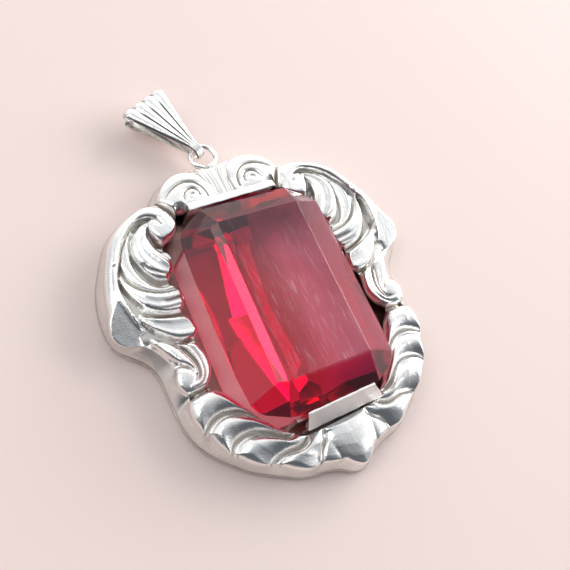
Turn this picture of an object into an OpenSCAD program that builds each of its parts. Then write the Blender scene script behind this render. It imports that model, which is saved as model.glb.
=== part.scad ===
// Large scroll-framed pendant: a hollow die-struck silver front on a flat
// back plate, an octagonal step-cut glass stone gripped by two bent tabs,
// a soldered ring and a fluted tapered bail that swings on it.
// Lies on its back: +X right, +Y towards the bail, +Z out of the face.
// Origin: on the back plane, in the middle of the whole length and width.

/* [Frame] */
// Height of the top edge of the side wall above the back
edge_z = 2.7; // [2.2:0.1:3.2]
// Thickness of the struck sheet
sheet = 0.5; // [0.4:0.05:0.6]
// Thickness of the flat back plate
back_t = 0.6; // [0.5:0.05:0.8]
// Extra rise of all the struck relief
relief_up = 0.0; // [-0.2:0.05:0.3]
// How far the stone's centre lies below the middle of the whole length
stone_drop = 6.7; // [6:0.1:7.4]

/* [Stone] */
// Width of the stone over the girdle
stone_w = 20; // [19:0.25:20]
// Length of the stone over the girdle
stone_l = 30; // [29:0.25:30]
// Length of the cut corners, measured along each side
corner_cut = 3.75; // [3:0.25:4.5]
// Width of the table
table_w = 10.9; // [9:0.1:12]
// Length of the table
table_l = 21.2; // [19:0.1:23]
// Height of the crown above the girdle
crown_h = 3.3; // [2.6:0.1:3.6]
// Depth of the pavilion below the girdle
pav_d = 4.7; // [4:0.1:4.8]
// Height of the upper girdle edge above the back
girdle_z = 5.5; // [5.4:0.1:5.8]
// How far the stone sits turned in its frame, in degrees
stone_turn = -3.4; // [-3.5:0.1:0]
// How far the two tabs are turned with it, in degrees
tab_turn = -1.5; // [-2:0.1:0]

/* [Ring] */
// Mean radius of the ring
ring_r = 1.75; // [1.6:0.05:1.9]
// Wire diameter of the ring
wire_d = 0.7; // [0.6:0.05:0.7]
// Distance from the stone's centre to the centre of the ring
ring_y = 23.7; // [23.7:0.1:24]

/* [Bail] */
// Width of the bail at its fold
bail_w = 7.2; // [7:0.2:8.6]
// Width of the bail where its legs meet
bail_tip_w = 1.2; // [1.2:0.1:1.5]
// Distance from the ring wire to the outside of the fold
bail_l = 10.3; // [9:0.1:11]
// Outside radius of the fold
fold_r = 1.3; // [1.2:0.05:1.8]
// How far round the ring the bail lies, in degrees
bail_turn = 23; // [0:1:30]

/* [Hidden] */
silver = [0.80, 0.80, 0.79];
girdle_t = 0.3;
ring_z = edge_z;

// ---- outlines, right half from the top centre down, in round millimetres
// outer edge of the relief, at the top of the side wall
edge_half = [[0,21.5],[1.8,21.8],[3.4,22.1],[5,22.1],[6.4,21.7],[7.6,20.9],
  [8.4,20],[8.9,19.2],[9.5,18.7],[10.7,18.8],[11.8,18.7],[13,18.3],[14.3,17.7],
  [15.5,16.9],[16.5,16],[17.3,14.9],[18,13.6],[18.7,12.2],[19.2,11],[19.7,9.6],
  [20.1,8.2],[20.4,6.8],[20.9,5.4],[21,4],[20.6,2.9],[19.4,2.1],[18.2,1.7],[17.2,.8],
  [16.5,-.4],[16,-1.6],[15.9,-2.6],[16.3,-3.4],[16.5,-4.2],[16.4,-5],[16,-5.8],
  [15.6,-6.3],[16.1,-6.9],[16.4,-7.7],[16.5,-8.7],[16.3,-9.8],[15.9,-10.8],
  [15.4,-11.5],[15.2,-12.3],[14.8,-13.2],[14.2,-14.2],[13.6,-14.9],[13,-15.7],
  [12.1,-16.6],[11.2,-17.1],[10.4,-17.4],[9.5,-18],[8.5,-18.8],[7.5,-19.5],
  [6.5,-19.9],[5.5,-19.9],[4.8,-19.8],[4,-20.2],[3.1,-20.5],[2.2,-20.7],
  [1.6,-21.3],[.8,-21.9],[0,-22.2]];
// foot of the side wall, on the back plate
foot_half = [[0,21.7],[2,22.3],[4,22.8],[5.6,22.8],[7.1,22.2],[8.3,21.4],[9.2,20.5],
  [10,19.8],[11.5,19.5],[13.2,19.1],[14.8,18.3],[16.2,17.3],[17.4,16],[18.4,14.6],
  [19.2,13.2],[20,11.8],[20.6,10.4],[21.1,8.8],[21.4,7.2],[21.5,5.6],[21.4,4],
  [21,2.8],[20.2,1.7],[19.2,.7],[18.4,-.3],[17.9,-1.4],[17.7,-2.8],[17.7,-4.4],
  [17.7,-6],[17.7,-7.6],[17.6,-9.2],[17.3,-10.6],[16.8,-11.9],[16,-13.2],
  [15,-14.4],[13.9,-15.6],[12.8,-16.7],[11.6,-17.6],[10.3,-18.5],[9,-19.3],
  [7.8,-20],[6.5,-20.5],[5,-20.8],[3.6,-21.1],[2.4,-21.6],[1.2,-22.4],[0,-22.7]];
// inner edge of the relief, with the leaf tips
tip_half = [[0,16.7],[3,16.7],[6,16.8],[7.4,16.6],[8,15.6],[8.4,14.5],[9.2,13.5],
  [10.2,13.1],[10.9,12.5],[10.5,11.5],[10.4,10.6],[10.8,9.4],[11.8,8.4],[12,7.6],
  [11.3,6.7],[11,5.8],[11.4,4.7],[12.2,3.8],[11.8,2.9],[11.4,1.8],[11.4,.8],
  [12.2,0],[12.1,-1.2],[11.8,-2.4],[11.8,-3.6],[12.3,-4.9],[13.2,-5.9],
  [12.7,-6.7],[11.8,-7.6],[11.1,-8.7],[10.5,-9.8],[9.8,-11],[9,-12.3],[8.2,-13.4],
  [7.6,-14.6],[7.3,-16],[6,-16.7],[3,-16.8],[0,-16.8]];
// height of the crest of the relief, as [degrees up from +X, height]
crest = [[-90,3.9],[-78,3.7],[-66,3.9],[-54,4],[-42,4],[-30,3.9],[-22,3.2],
  [-15,3.7],[-8,3.4],[0,3.3],[10,3.7],[25,4],[40,4.1],[52,4],[60,3.4],[70,4.2],
  [80,4.2],[86,3.7],[90,3.7]];

// whole outline from a half: mirrored, corners kept once
function whole(h) = concat(h, [for (i = [len(h)-2:-1:1]) [-h[i][0], h[i][1]]]);
function cr(a, b, c, d, t) = 0.5*((2*b) + (c-a)*t + (2*a-5*b+4*c-d)*t*t + (3*b-a-3*c+d)*t*t*t);
// closed Catmull-Rom curve through the points, m steps a span
function smooth(p, m) = [for (i = [0:len(p)-1], j = [0:m-1])
  cr(p[(i-1+len(p))%len(p)], p[i], p[(i+1)%len(p)], p[(i+2)%len(p)], j/m)];
function cross2(a, b) = a[0]*b[1] - a[1]*b[0];
// distance from the origin to a closed line in the direction of angle a
function ray(p, a) = let (d = [cos(a), sin(a)])
  max([for (i = [0:len(p)-1]) let (q = p[i], e = p[(i+1)%len(p)] - q,
    den = cross2(d, e), s = den == 0 ? -1 : cross2(q, e)/den, t = den == 0 ? -1 : cross2(q, d)/den)
    (s > 0 && t >= 0 && t < 1) ? s : 0]);
function crest_z(a) = lookup(abs(((a+270)%360)-180) > 0 ? 90-abs(((a+270)%360)-180) : 90, crest) + relief_up;

N = 120;
angs = [for (k = [0:N-1]) k*360/N];
edge_c = smooth(whole(edge_half), 3);
foot_c = smooth(whole(foot_half), 3);
tip_c = smooth(whole(tip_half), 3);
re = [for (a = angs) ray(edge_c, a)];
rf = [for (a = angs) ray(foot_c, a)];
rt = [for (a = angs) ray(tip_c, a)];

function ringp(r, z) = [for (k = [0:N-1]) [r[k]*cos(angs[k]), r[k]*sin(angs[k]), z[k]]];
function same(v) = [for (k = [0:N-1]) v];
function mixr(t) = [for (k = [0:N-1]) re[k] + (rt[k]-re[k])*t];
function crestz(f, drop) = [for (k = [0:N-1]) edge_z + (crest_z(angs[k])-edge_z)*f - drop];
// closed ring of quads through a stack of rings, the last joined to the first
module ring_loft(rings) {
  m = len(rings);
  polyhedron(points = [for (r = rings) each r],
    faces = [for (i = [0:m-1], k = [0:N-1]) let (j = (i+1)%m, l = (k+1)%N) each
      [[i*N+k, j*N+k, i*N+l], [i*N+l, j*N+k, j*N+l]]], convexity = 8);
}

// hollow struck front: side wall and relief in one sheet
module front_shell() {
  color(silver) ring_loft([
    ringp(rf, same(back_t)),
    ringp(re, same(edge_z)),
    ringp(mixr(.12), crestz(.55, 0)),
    ringp(mixr(.32), crestz(1, 0)),
    ringp(mixr(.55), crestz(.95, 0)),
    ringp(mixr(.8), crestz(.6, 0)),
    ringp(rt, same(edge_z+.2)),
    ringp(rt+same(.12), same(edge_z+.2-sheet)),
    ringp(mixr(.8), crestz(.55, sheet)),
    ringp(mixr(.5), crestz(.95, sheet)),
    ringp(mixr(.2), crestz(.8, sheet)),
    ringp(re-same(sheet), same(edge_z-.3)),
    ringp(rf-same(sheet), same(back_t))]);
}

// flat plate that closes the hollow front from behind, open under the stone
module back_plate() {
  color([0.72, 0.72, 0.71]) linear_extrude(back_t) difference() {
    polygon([for (k = [0:N-1]) rf[k]*[cos(angs[k]), sin(angs[k])]]);
    rotate(stone_turn) polygon(octagon(21.8, 28.4, 4.5));
  }
}

function octagon(w, l, c) = [[w/2,l/2-c],[w/2-c,l/2],[c-w/2,l/2],[-w/2,l/2-c],
  [-w/2,c-l/2],[c-w/2,-l/2],[w/2-c,-l/2],[w/2,c-l/2]];
function at_z(p, z) = [for (q = p) [q[0], q[1], z]];
// the table is a true rectangle; each of its corners carries two points
module cut_stone() {
  tw = table_w/2; tl = table_l/2; k = 0.02;
  o = [for (s = [[1,1,0,k],[1,1,k,0],[-1,1,k,0],[-1,1,0,k],[-1,-1,0,k],[-1,-1,k,0],[1,-1,k,0],[1,-1,0,k]])
        [s[0]*(tw-s[2]), s[1]*(tl-s[3])]];
  rows = [
    at_z(octagon(4, 14, .6), girdle_z-girdle_t-pav_d),
    at_z(octagon(10.6, 20.6, 1.9), girdle_z-girdle_t-pav_d*.78),
    at_z(octagon(16, 26, 2.9), girdle_z-girdle_t-pav_d*.42),
    at_z(octagon(stone_w, stone_l, corner_cut), girdle_z-girdle_t),
    at_z(octagon(stone_w, stone_l, corner_cut), girdle_z),
    at_z(o, girdle_z+crown_h)];
  m = len(rows);
  polyhedron(points = [for (r = rows) each r],
    faces = concat([[for (i = [0:7]) i]], [[for (i = [7:-1:0]) (m-1)*8+i]],
      [for (j = [0:m-2], i = [0:7]) let (l = (i+1)%8) each
        [[j*8+i, j*8+8+i, j*8+l], [j*8+l, j*8+8+i, j*8+8+l]]]));
}
module stone() { color([0.62, 0.05, 0.10]) rotate(stone_turn) cut_stone(); }

// strip standing on the back plate, bent over the end of the stone
module tab_at(x, y, len) { translate([x, y, 0]) rotate(tab_turn) translate([-len/2, 0, 0]) rotate([90, 0, 90]) linear_extrude(len) children(); }
module upper_tab() {
  g = girdle_z;
  color([0.86, 0.86, 0.85]) tab_at(-.15, 15.5, 12.3)
    polygon([[.55,back_t],[.95,back_t],[.95,g+.1],[.75,g+.35],[.2,g+.42],[-.45,g+.42],[-.5,g+.25],[-.4,g+.12],[.55,g+.02]]);
}
module lower_tab() {
  g = girdle_z;
  color([0.72, 0.72, 0.72]) tab_at(.1, -15.5, 10.8)
    polygon([[-.85,back_t],[-.45,back_t],[.02,g+.02],[.4,g+.12],[.5,g+.25],[.4,g+.5],[-.38,g+.5]]);
}
// strip under the girdle, carrying the pavilion
module seat_strip() {
  linear_extrude(girdle_z-girdle_t-.75-back_t) translate([-5, -.25]) square([10, .5]);
}
module upper_seat() { color(silver) rotate(stone_turn) translate([0, 14.55, back_t]) seat_strip(); }
module lower_seat() { color(silver) rotate(stone_turn) translate([0, -14.55, back_t]) seat_strip(); }

module ring_body(d) { rotate_extrude($fn = 96) translate([ring_r, 0]) circle(d = d, $fn = 48); }
module hanging_ring() { color([0.88, 0.88, 0.87]) translate([0, ring_y, ring_z]) ring_body(wire_d); }
// solder that fills the notch between the ring and the frame
module ring_solder() {
  color([0.62, 0.58, 0.52]) difference() {
    translate([0, 21.98, ring_z]) rotate([90, 0, 0]) cylinder(d = 1.5, h = .34, center = true, $fn = 48);
    translate([0, ring_y, ring_z]) ring_body(wire_d);
  }
}

// teardrop loop seen from the side, v along the bail and w through it
module loop_side(r0, r1, v1) { hull() { translate([-.5, 0]) circle(r = r0, $fn = 48); translate([v1, 0]) circle(r = r1, $fn = 48); } }
module bail() {
  t = 0.45;
  v1 = bail_l - fold_r;
  color([0.86, 0.86, 0.85]) translate([0, ring_y, ring_z]) rotate(bail_turn) translate([0, ring_r, 0])
    intersection() {
      rotate([90, 0, 90]) linear_extrude(bail_w+2, center = true) difference() {
        loop_side(1.1, fold_r, v1);
        loop_side(.6, fold_r-t, v1);
      }
      translate([0, 0, -5]) linear_extrude(10)
        polygon([[-bail_tip_w/2,-2],[bail_tip_w/2,-2],[bail_tip_w/2,.2],[bail_w/2-.3,bail_l-2.1],[bail_w/2,bail_l-1.2],
          [bail_w/2-.3,bail_l+1],[.3-bail_w/2,bail_l+1],[-bail_w/2,bail_l-1.2],[.3-bail_w/2,bail_l-2.1],[-bail_tip_w/2,.2]]);
    }
}

// everything above is drawn round the stone's centre
translate([0, -stone_drop, 0]) {
  front_shell();
  back_plate();
  stone();
  upper_tab();
  lower_tab();
  upper_seat();
  lower_seat();
  hanging_ring();
  ring_solder();
  bail();
}
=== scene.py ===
# Scroll-framed silver pendant with a step-cut red stone: the visual model.
# All shapes are drawn in millimetres round the stone's girdle centre
# (x right, y towards the bail, z out of the face) and moved into the CAD frame.
import math
import bpy
import bmesh
import numpy as np
from mathutils import Matrix, Vector


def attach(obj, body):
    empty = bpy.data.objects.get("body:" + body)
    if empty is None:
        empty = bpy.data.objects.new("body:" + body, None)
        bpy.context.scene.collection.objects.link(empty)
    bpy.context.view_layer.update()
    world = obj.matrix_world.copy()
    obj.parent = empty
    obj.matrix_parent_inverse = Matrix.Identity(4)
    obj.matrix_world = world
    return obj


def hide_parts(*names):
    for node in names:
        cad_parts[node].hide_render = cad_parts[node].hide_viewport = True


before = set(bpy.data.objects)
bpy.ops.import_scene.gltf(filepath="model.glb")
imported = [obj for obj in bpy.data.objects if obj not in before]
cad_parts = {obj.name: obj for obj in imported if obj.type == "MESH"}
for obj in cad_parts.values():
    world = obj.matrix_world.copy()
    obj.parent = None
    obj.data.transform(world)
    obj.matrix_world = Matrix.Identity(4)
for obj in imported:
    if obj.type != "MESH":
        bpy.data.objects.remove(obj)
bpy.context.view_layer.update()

DROP = 6.7          # the stone's centre is this far below the frame's origin along Y
GIRDLE = 5.5        # height of the girdle above the back plane
rng = np.random.default_rng(7)


def world_pts(p):
    """Drawing millimetres to metres in the CAD frame."""
    p = np.asarray(p, float)
    return (p + np.array([0.0, -DROP, GIRDLE])) * 0.001


# ------------------------------------------------------------------ camera
cam_data = bpy.data.cameras.new("Camera")
cam = bpy.data.objects.new("Camera", cam_data)
bpy.context.scene.collection.objects.link(cam)
bpy.context.scene.camera = cam
CAM_POS = (-30.7147, -20.0098, 70.7598)
CAM_R = np.array([[0.856170, -0.457412, 0.240306], [-0.339399, -0.848541, -0.405938], [0.389590, 0.265992, -0.881741]])
cam_data.sensor_width = 36.0
cam_data.lens = 36.0 * 640.0 / 570.0
cam_data.clip_start = 0.005
cam_data.clip_end = 3.0
m = Matrix.Identity(4)
for i in range(3):
    m[i][0] = CAM_R[0][i]
    m[i][1] = -CAM_R[1][i]
    m[i][2] = -CAM_R[2][i]
pos = world_pts(CAM_POS)
for i in range(3):
    m[i][3] = pos[i]
cam.matrix_world = m


# ------------------------------------------------------------------ curves
def cat(points, closed=False, step=0.12):
    """Catmull-Rom curve through the points, as evenly spaced points."""
    p = np.asarray(points, float)
    n = len(p)
    out = []
    spans = n if closed else n - 1
    for i in range(spans):
        if closed:
            a, b, c, d = p[(i - 1) % n], p[i], p[(i + 1) % n], p[(i + 2) % n]
        else:
            a, b, c, d = p[max(i - 1, 0)], p[i], p[i + 1], p[min(i + 2, n - 1)]
        k = max(2, int(np.linalg.norm(c - b) / step))
        t = np.linspace(0, 1, k, endpoint=False)[:, None]
        out.append(0.5 * (2 * b + (c - a) * t + (2 * a - 5 * b + 4 * c - d) * t**2
                          + (3 * b - a - 3 * c + d) * t**3))
    out = np.concatenate(out)
    if not closed:
        out = np.vstack([out, p[-1:]])
    return out


def resample(curve, n):
    """n points evenly spaced along an open polyline."""
    seg = np.linalg.norm(np.diff(curve, axis=0), axis=1)
    s = np.concatenate([[0], np.cumsum(seg)])
    t = np.linspace(0, s[-1], n)
    return np.stack([np.interp(t, s, curve[:, k]) for k in range(curve.shape[1])], 1)


def along(v, values):
    """A number, or numbers spread evenly along 0..1."""
    if np.isscalar(values):
        return np.full_like(v, float(values))
    values = np.asarray(values, float)
    return np.interp(v, np.linspace(0, 1, len(values)), values)


def smooth01(x):
    x = np.clip(x, 0, 1)
    return x * x * (3 - 2 * x)


# The relief was drawn on a plan that looks along the camera's line at height -2.4;
# higher points move towards the point under the camera.
def plan(points, z):
    p = np.asarray(points, float)
    c = np.array([CAM_POS[0], CAM_POS[1]])
    return c + (p - c) * (CAM_POS[2] - z) / (CAM_POS[2] + 2.4)


# ------------------------------------------------------------------ outlines
EDGE = [(0, 21.5), (1.8, 21.8), (3.4, 22.1), (5, 22.1), (6.4, 21.7), (7.6, 20.9),
        (8.4, 20), (8.9, 19.2), (9.5, 18.7), (10.7, 18.8), (11.8, 18.7), (13, 18.3), (14.3, 17.7),
        (15.5, 16.9), (16.5, 16), (17.3, 14.9), (18, 13.6), (18.7, 12.2), (19.2, 11), (19.7, 9.6),
        (20.1, 8.2), (20.4, 6.8), (20.9, 5.4), (21, 4), (20.6, 2.9), (19.4, 2.1), (18.2, 1.7), (17.2, .8),
        (16.5, -.4), (16, -1.6), (15.9, -2.6), (16.3, -3.4), (16.5, -4.2), (16.4, -5), (16, -5.8),
        (15.6, -6.3), (16.1, -6.9), (16.4, -7.7), (16.5, -8.7), (16.3, -9.8), (15.9, -10.8),
        (15.4, -11.5), (15.2, -12.3), (14.8, -13.2), (14.2, -14.2), (13.6, -14.9), (13, -15.7),
        (12.1, -16.6), (11.2, -17.1), (10.4, -17.4), (9.5, -18), (8.5, -18.8), (7.5, -19.5),
        (6.5, -19.9), (5.5, -19.9), (4.8, -19.8), (4, -20.2), (3.1, -20.5), (2.2, -20.7),
        (1.6, -21.3), (.8, -21.9), (0, -22.2)]
FOOT = [(0, 21.7), (2, 22.3), (4, 22.8), (5.6, 22.8), (7.1, 22.2), (8.3, 21.4), (9.2, 20.5),
        (10, 19.8), (11.5, 19.5), (13.2, 19.1), (14.8, 18.3), (16.2, 17.3), (17.4, 16), (18.4, 14.6),
        (19.2, 13.2), (20, 11.8), (20.6, 10.4), (21.1, 8.8), (21.4, 7.2), (21.5, 5.6), (21.4, 4),
        (21, 2.8), (20.2, 1.7), (19.2, .7), (18.4, -.3), (17.9, -1.4), (17.7, -2.8), (17.7, -4.4),
        (17.7, -6), (17.7, -7.6), (17.6, -9.2), (17.3, -10.6), (16.8, -11.9), (16, -13.2),
        (15, -14.4), (13.9, -15.6), (12.8, -16.7), (11.6, -17.6), (10.3, -18.5), (9, -19.3),
        (7.8, -20), (6.5, -20.5), (5, -20.8), (3.6, -21.1), (2.4, -21.6), (1.2, -22.4), (0, -22.7)]
TIPS = [(0, 16.2), (3, 16.2), (5.6, 16.2), (6.6, 16.4), (7.2, 16.5), (7.6, 15.9), (7.9, 15.0), (8.3, 14.2), (9.1, 13.5),
        (10.1, 13.1), (10.9, 12.5), (10.5, 11.5), (10.4, 10.6), (10.8, 9.4), (11.8, 8.4), (12, 7.6),
        (11.3, 6.7), (11, 5.8), (11.4, 4.7), (12.2, 3.8), (11.8, 2.9), (11.4, 1.8), (11.4, .8),
        (12.2, 0), (12.1, -1.2), (11.8, -2.4), (11.8, -3.6), (12.3, -4.9), (13.2, -5.9),
        (12.7, -6.7), (11.8, -7.6), (11.1, -8.7), (10.5, -9.8), (9.8, -11), (9, -12.3), (8.2, -13.4),
        (7.4, -14.4), (6.7, -15.05), (6.0, -15.45), (5.6, -15.85), (5.0, -16.1), (3, -16.15), (0, -16.15)]


def whole(half):
    h = [tuple(q) for q in half]
    return h + [(-x, y) for x, y in h[-2:0:-1]]


def ray(poly, ang):
    """Distance from the centre to a closed line at each angle, the farthest crossing."""
    p, q = poly, np.roll(poly, -1, 0)
    e = q - p
    out = np.zeros(len(ang))
    for i, a in enumerate(ang):
        d = np.array([math.cos(a), math.sin(a)])
        den = d[0] * e[:, 1] - d[1] * e[:, 0]
        den = np.where(np.abs(den) < 1e-12, 1e-12, den)
        s = (p[:, 0] * e[:, 1] - p[:, 1] * e[:, 0]) / den
        t = (p[:, 0] * d[1] - p[:, 1] * d[0]) / den
        ok = (s > 0) & (t >= -1e-9) & (t < 1 + 1e-9)
        out[i] = s[ok].max()
    return out


EDGE_C = cat(whole(EDGE), True, 0.25)
FOOT_C = cat(whole(FOOT), True, 0.4)
TIPS_C = cat(whole(TIPS), True, 0.25)

# ------------------------------------------------------------------ relief grid, left half
STEP = 0.05
GX = np.arange(-22.0, 0.61, STEP)
GY = np.arange(-23.2, 23.2, STEP)
XX, YY = np.meshgrid(GX, GY)
FLOOR = -2.55
H = np.full(XX.shape, FLOOR)
DARK = np.zeros(XX.shape)       # how much patina sits at a place


def window(pts, pad):
    lo, hi = pts.min(0) - pad, pts.max(0) + pad
    i0, i1 = np.searchsorted(GX, [lo[0], hi[0]])
    j0, j1 = np.searchsorted(GY, [lo[1], hi[1]])
    return slice(j0, j1), slice(i0, i1)


def nearest(pts, X, Y):
    """Distance to a polyline and the place along it, 0 to 1."""
    best = np.full(X.shape, 1e9)
    where = np.zeros(X.shape)
    seg = np.linalg.norm(np.diff(pts, axis=0), axis=1)
    s = np.concatenate([[0], np.cumsum(seg)])
    for k in range(len(pts) - 1):
        ax, ay = pts[k]
        ex, ey = pts[k + 1] - pts[k]
        l2 = ex * ex + ey * ey + 1e-12
        t = np.clip(((X - ax) * ex + (Y - ay) * ey) / l2, 0, 1)
        d = (X - ax - t * ex) ** 2 + (Y - ay - t * ey) ** 2
        m_ = d < best
        best[m_] = d[m_]
        where[m_] = (s[k] + t[m_] * seg[k]) / s[-1]
    return np.sqrt(best), where


def fade(v, t0, t1):
    f = np.ones_like(v)
    if t0 > 0:
        f *= smooth01(v / t0)
    if t1 > 0:
        f *= smooth01((1 - v) / t1)
    return f


def groove(points, depth, width, z=-2.0, t0=0.12, t1=0.12, dark=1.0, sharp=1.0):
    """An incised line: sharp=1 leaves a crease with rounded shoulders, 2 a soft hollow."""
    pts = resample(cat(plan(points, z)), max(6, int(4 * len(points))))
    wmax = np.max(width)
    sy, sx = window(pts, wmax * 3.2)
    d, v = nearest(pts, XX[sy, sx], YY[sy, sx])
    w = along(v, width)
    a = along(v, depth) * fade(v, t0, t1)
    f = np.exp(-(d / w) ** sharp)
    H[sy, sx] -= a * f
    g = np.exp(-(d / (0.6 * np.minimum(w, 0.35))) ** 2) * np.clip(a * 2.6, 0, 1) * dark
    DARK[sy, sx] = np.maximum(DARK[sy, sx], g)


def ridge(points, height, width, z=-2.0, t0=0.15, t1=0.15):
    pts = resample(cat(plan(points, z)), max(6, int(4 * len(points))))
    wmax = np.max(width)
    sy, sx = window(pts, wmax * 1.6)
    d, v = nearest(pts, XX[sy, sx], YY[sy, sx])
    w = along(v, width)
    f = np.exp(-(d / (.6 * w)) ** 2)
    H[sy, sx] += along(v, height) * fade(v, t0, t1) * f


def dome(centre, radius, top, drop, power=2.0, z=None, squash=1.0, turn=0.0, mode="max"):
    c = plan([centre], top if z is None else z)[0]
    sy, sx = window(np.array([c, c]), radius * max(1, squash) * 1.05)
    X, Y = XX[sy, sx] - c[0], YY[sy, sx] - c[1]
    ca, sa = math.cos(math.radians(turn)), math.sin(math.radians(turn))
    U, V = (X * ca + Y * sa) / squash, -X * sa + Y * ca
    r = np.sqrt(U**2 + V**2) / radius
    Z = top - drop * (1 - np.clip(1 - r**power, 0, 1) ** (1 / power))
    Z = np.where(r < 1, Z, -9)
    if mode == "max":
        H[sy, sx] = np.maximum(H[sy, sx], Z)
    else:
        k = smooth01((1 - r) / 0.15)
        H[sy, sx] = H[sy, sx] * (1 - k) + np.where(r < 1, Z, 0) * k


def pit(centre, radius, depth, z=-2.0, dark=1.0):
    c = plan([centre], z)[0]
    sy, sx = window(np.array([c, c]), radius * 3)
    r2 = ((XX[sy, sx] - c[0]) ** 2 + (YY[sy, sx] - c[1]) ** 2) / radius**2
    H[sy, sx] -= depth * np.exp(-r2)
    DARK[sy, sx] = np.maximum(DARK[sy, sx], dark * np.exp(-r2 * 1.4))


def patch(A, B, z0, z1, crown, sq=2.0, skew=1.0, cap0=0.0, cap1=0.0, lines=(), prof=None, z=-2.0,
          mode="over", edge=0.05):
    """A curved strip between line A and line B, drawn over what lies below.
    z0 and z1 are its heights at A and B, crown its rise between them, lines its flutes."""
    a, b = cat(plan(A, z)), cat(plan(B, z))
    la = np.linalg.norm(np.diff(a, axis=0), axis=1).sum()
    lb = np.linalg.norm(np.diff(b, axis=0), axis=1).sum()
    nv = int(max(la, lb) / (STEP * 0.45)) + 8
    a, b = resample(a, nv), resample(b, nv)
    wid = np.linalg.norm(a - b, axis=1)
    nu = int(wid.max() / (STEP * 0.45)) + 8
    u = np.linspace(0, 1, nu)[None, :]
    v = np.linspace(0, 1, nv)[:, None]
    U, V = np.broadcast_to(u, (nv, nu)), np.broadcast_to(v, (nv, nu))
    P = a[:, None, :] * (1 - U[..., None]) + b[:, None, :] * U[..., None]
    us = U**skew
    if prof is None:
        shape = np.clip(1 - np.abs(2 * us - 1) ** sq, 0, 1) ** (1 / sq)
    else:
        shape = np.interp(U, np.linspace(0, 1, len(prof)), prof)
        # smooth the interpolated profile a little
        shape = (shape + np.interp(U - .03, np.linspace(0, 1, len(prof)), prof)
                 + np.interp(U + .03, np.linspace(0, 1, len(prof)), prof)) / 3
    cap = np.ones_like(V)
    if cap0 > 0:
        cap = cap * np.sqrt(np.clip(1 - np.clip(1 - V / cap0, 0, 1) ** 2, 0, 1))
    if cap1 > 0:
        cap = cap * np.sqrt(np.clip(1 - np.clip(1 - (1 - V) / cap1, 0, 1) ** 2, 0, 1))
    Z = along(V, z0) * (1 - U) + along(V, z1) * U + along(V, crown) * shape * cap
    D = np.zeros_like(Z)
    for ln in lines:
        u0, dep, w = ln[0], ln[1], ln[2]
        f0, f1 = (ln[3], ln[4]) if len(ln) > 3 else (0.1, 0.0)
        uu = along(V, u0)
        dist = np.abs(U - uu) * wid[:, None]
        amp = along(V, dep) * fade(V, f0, f1)
        Z = Z - amp * np.exp(-dist / w)
        D = np.maximum(D, np.exp(-(dist / (0.55 * min(w, 0.3))) ** 2) * np.clip(amp * 2.6, 0, 1))
    inside = smooth01(U * wid[:, None] / edge) * smooth01((1 - U) * wid[:, None] / edge)
    ix = np.clip(((P[..., 0] - GX[0]) / STEP + 0.5).astype(int), 0, len(GX) - 1).ravel()
    iy = np.clip(((P[..., 1] - GY[0]) / STEP + 0.5).astype(int), 0, len(GY) - 1).ravel()
    k = iy * len(GX) + ix
    size = H.size
    n = np.bincount(k, minlength=size)
    zz = np.bincount(k, Z.ravel(), size)
    dd = np.bincount(k, D.ravel(), size)
    aa = np.bincount(k, inside.ravel(), size)
    m_ = n > 0
    zz[m_] /= n[m_]
    dd[m_] /= n[m_]
    aa[m_] /= n[m_]
    zz, dd, aa, m_ = (q.reshape(H.shape) for q in (zz, dd, aa, m_))
    if mode == "max":
        H[m_] = np.maximum(H[m_], zz[m_])
        return
    H[m_] = H[m_] * (1 - aa[m_]) + zz[m_] * aa[m_]
    DARK[m_] = DARK[m_] * (1 - aa[m_]) + dd[m_] * aa[m_]


# ---- C scroll: the broad outer band, from the curl ball round to the side lobe
patch([(-8.7, 18.3), (-10.2, 19.0), (-12, 19.0), (-14.6, 18.0), (-16.7, 16.6), (-17.9, 14.9), (-19, 12.7),
       (-20.0, 10.2), (-20.7, 7.4), (-21.1, 5), (-20.9, 3), (-20.2, 1.9)],
      [(-8.6, 15.6), (-9.4, 15.9), (-10.2, 16.7), (-10.9, 17.1), (-11.9, 17.2), (-12.8, 16.8), (-13.7, 16.3), (-14.5, 15.6),
       (-15.3, 14.7), (-16.0, 13.6), (-16.5, 12.6), (-17.1, 11.4), (-17.6, 10.0), (-17.7, 8.4), (-17.6, 6.9),
       (-17.5, 5.4), (-17.4, 4.2), (-17.3, 3.0), (-17.4, 1.8)],
      -2.4, -1.95, [.8, .9, .95, .95, .9, .9, .8], sq=2.2, z=-1.7, edge=.12)
# the band ends in one flat facet that slopes down to the side lobe
cut = -1.3 + (YY - 7.3) * .30
H = np.where(XX < np.interp(YY, [1.5, 3.3, 5, 6.6, 8.2, 9.8], [-17.3, -17.5, -18.0, -18.35, -18.45, -18.3]), np.minimum(H, cut), H)
# shallow channel between the band and the first leaf
patch([(-13.7, 16.3), (-14.5, 15.6), (-15.3, 14.7), (-16.0, 13.6), (-16.4, 12.8), (-16.7, 11.8), (-16.6, 10.8), (-16.4, 9.8),
       (-15.8, 8.8), (-15.0, 8.0), (-14.0, 7.4), (-12.7, 7.0), (-11.2, 6.9)],
      [(-13.5, 16.1), (-14.2, 15.3), (-14.7, 14.2), (-15.0, 13.1), (-15.1, 12.2), (-15.0, 11.2), (-14.7, 10.0), (-14.2, 9.0),
       (-13.5, 8.2), (-12.7, 7.8), (-11.2, 7.9)],
      [-1.75, -1.9, -2.0, -2.2], [-1.9, -2.1, -2.3, -2.35], [.05, .14, .2, .18], z=-2.0,
      lines=[(.42, [.02, .1, .1, .06], .14, .2, .1)])
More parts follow.
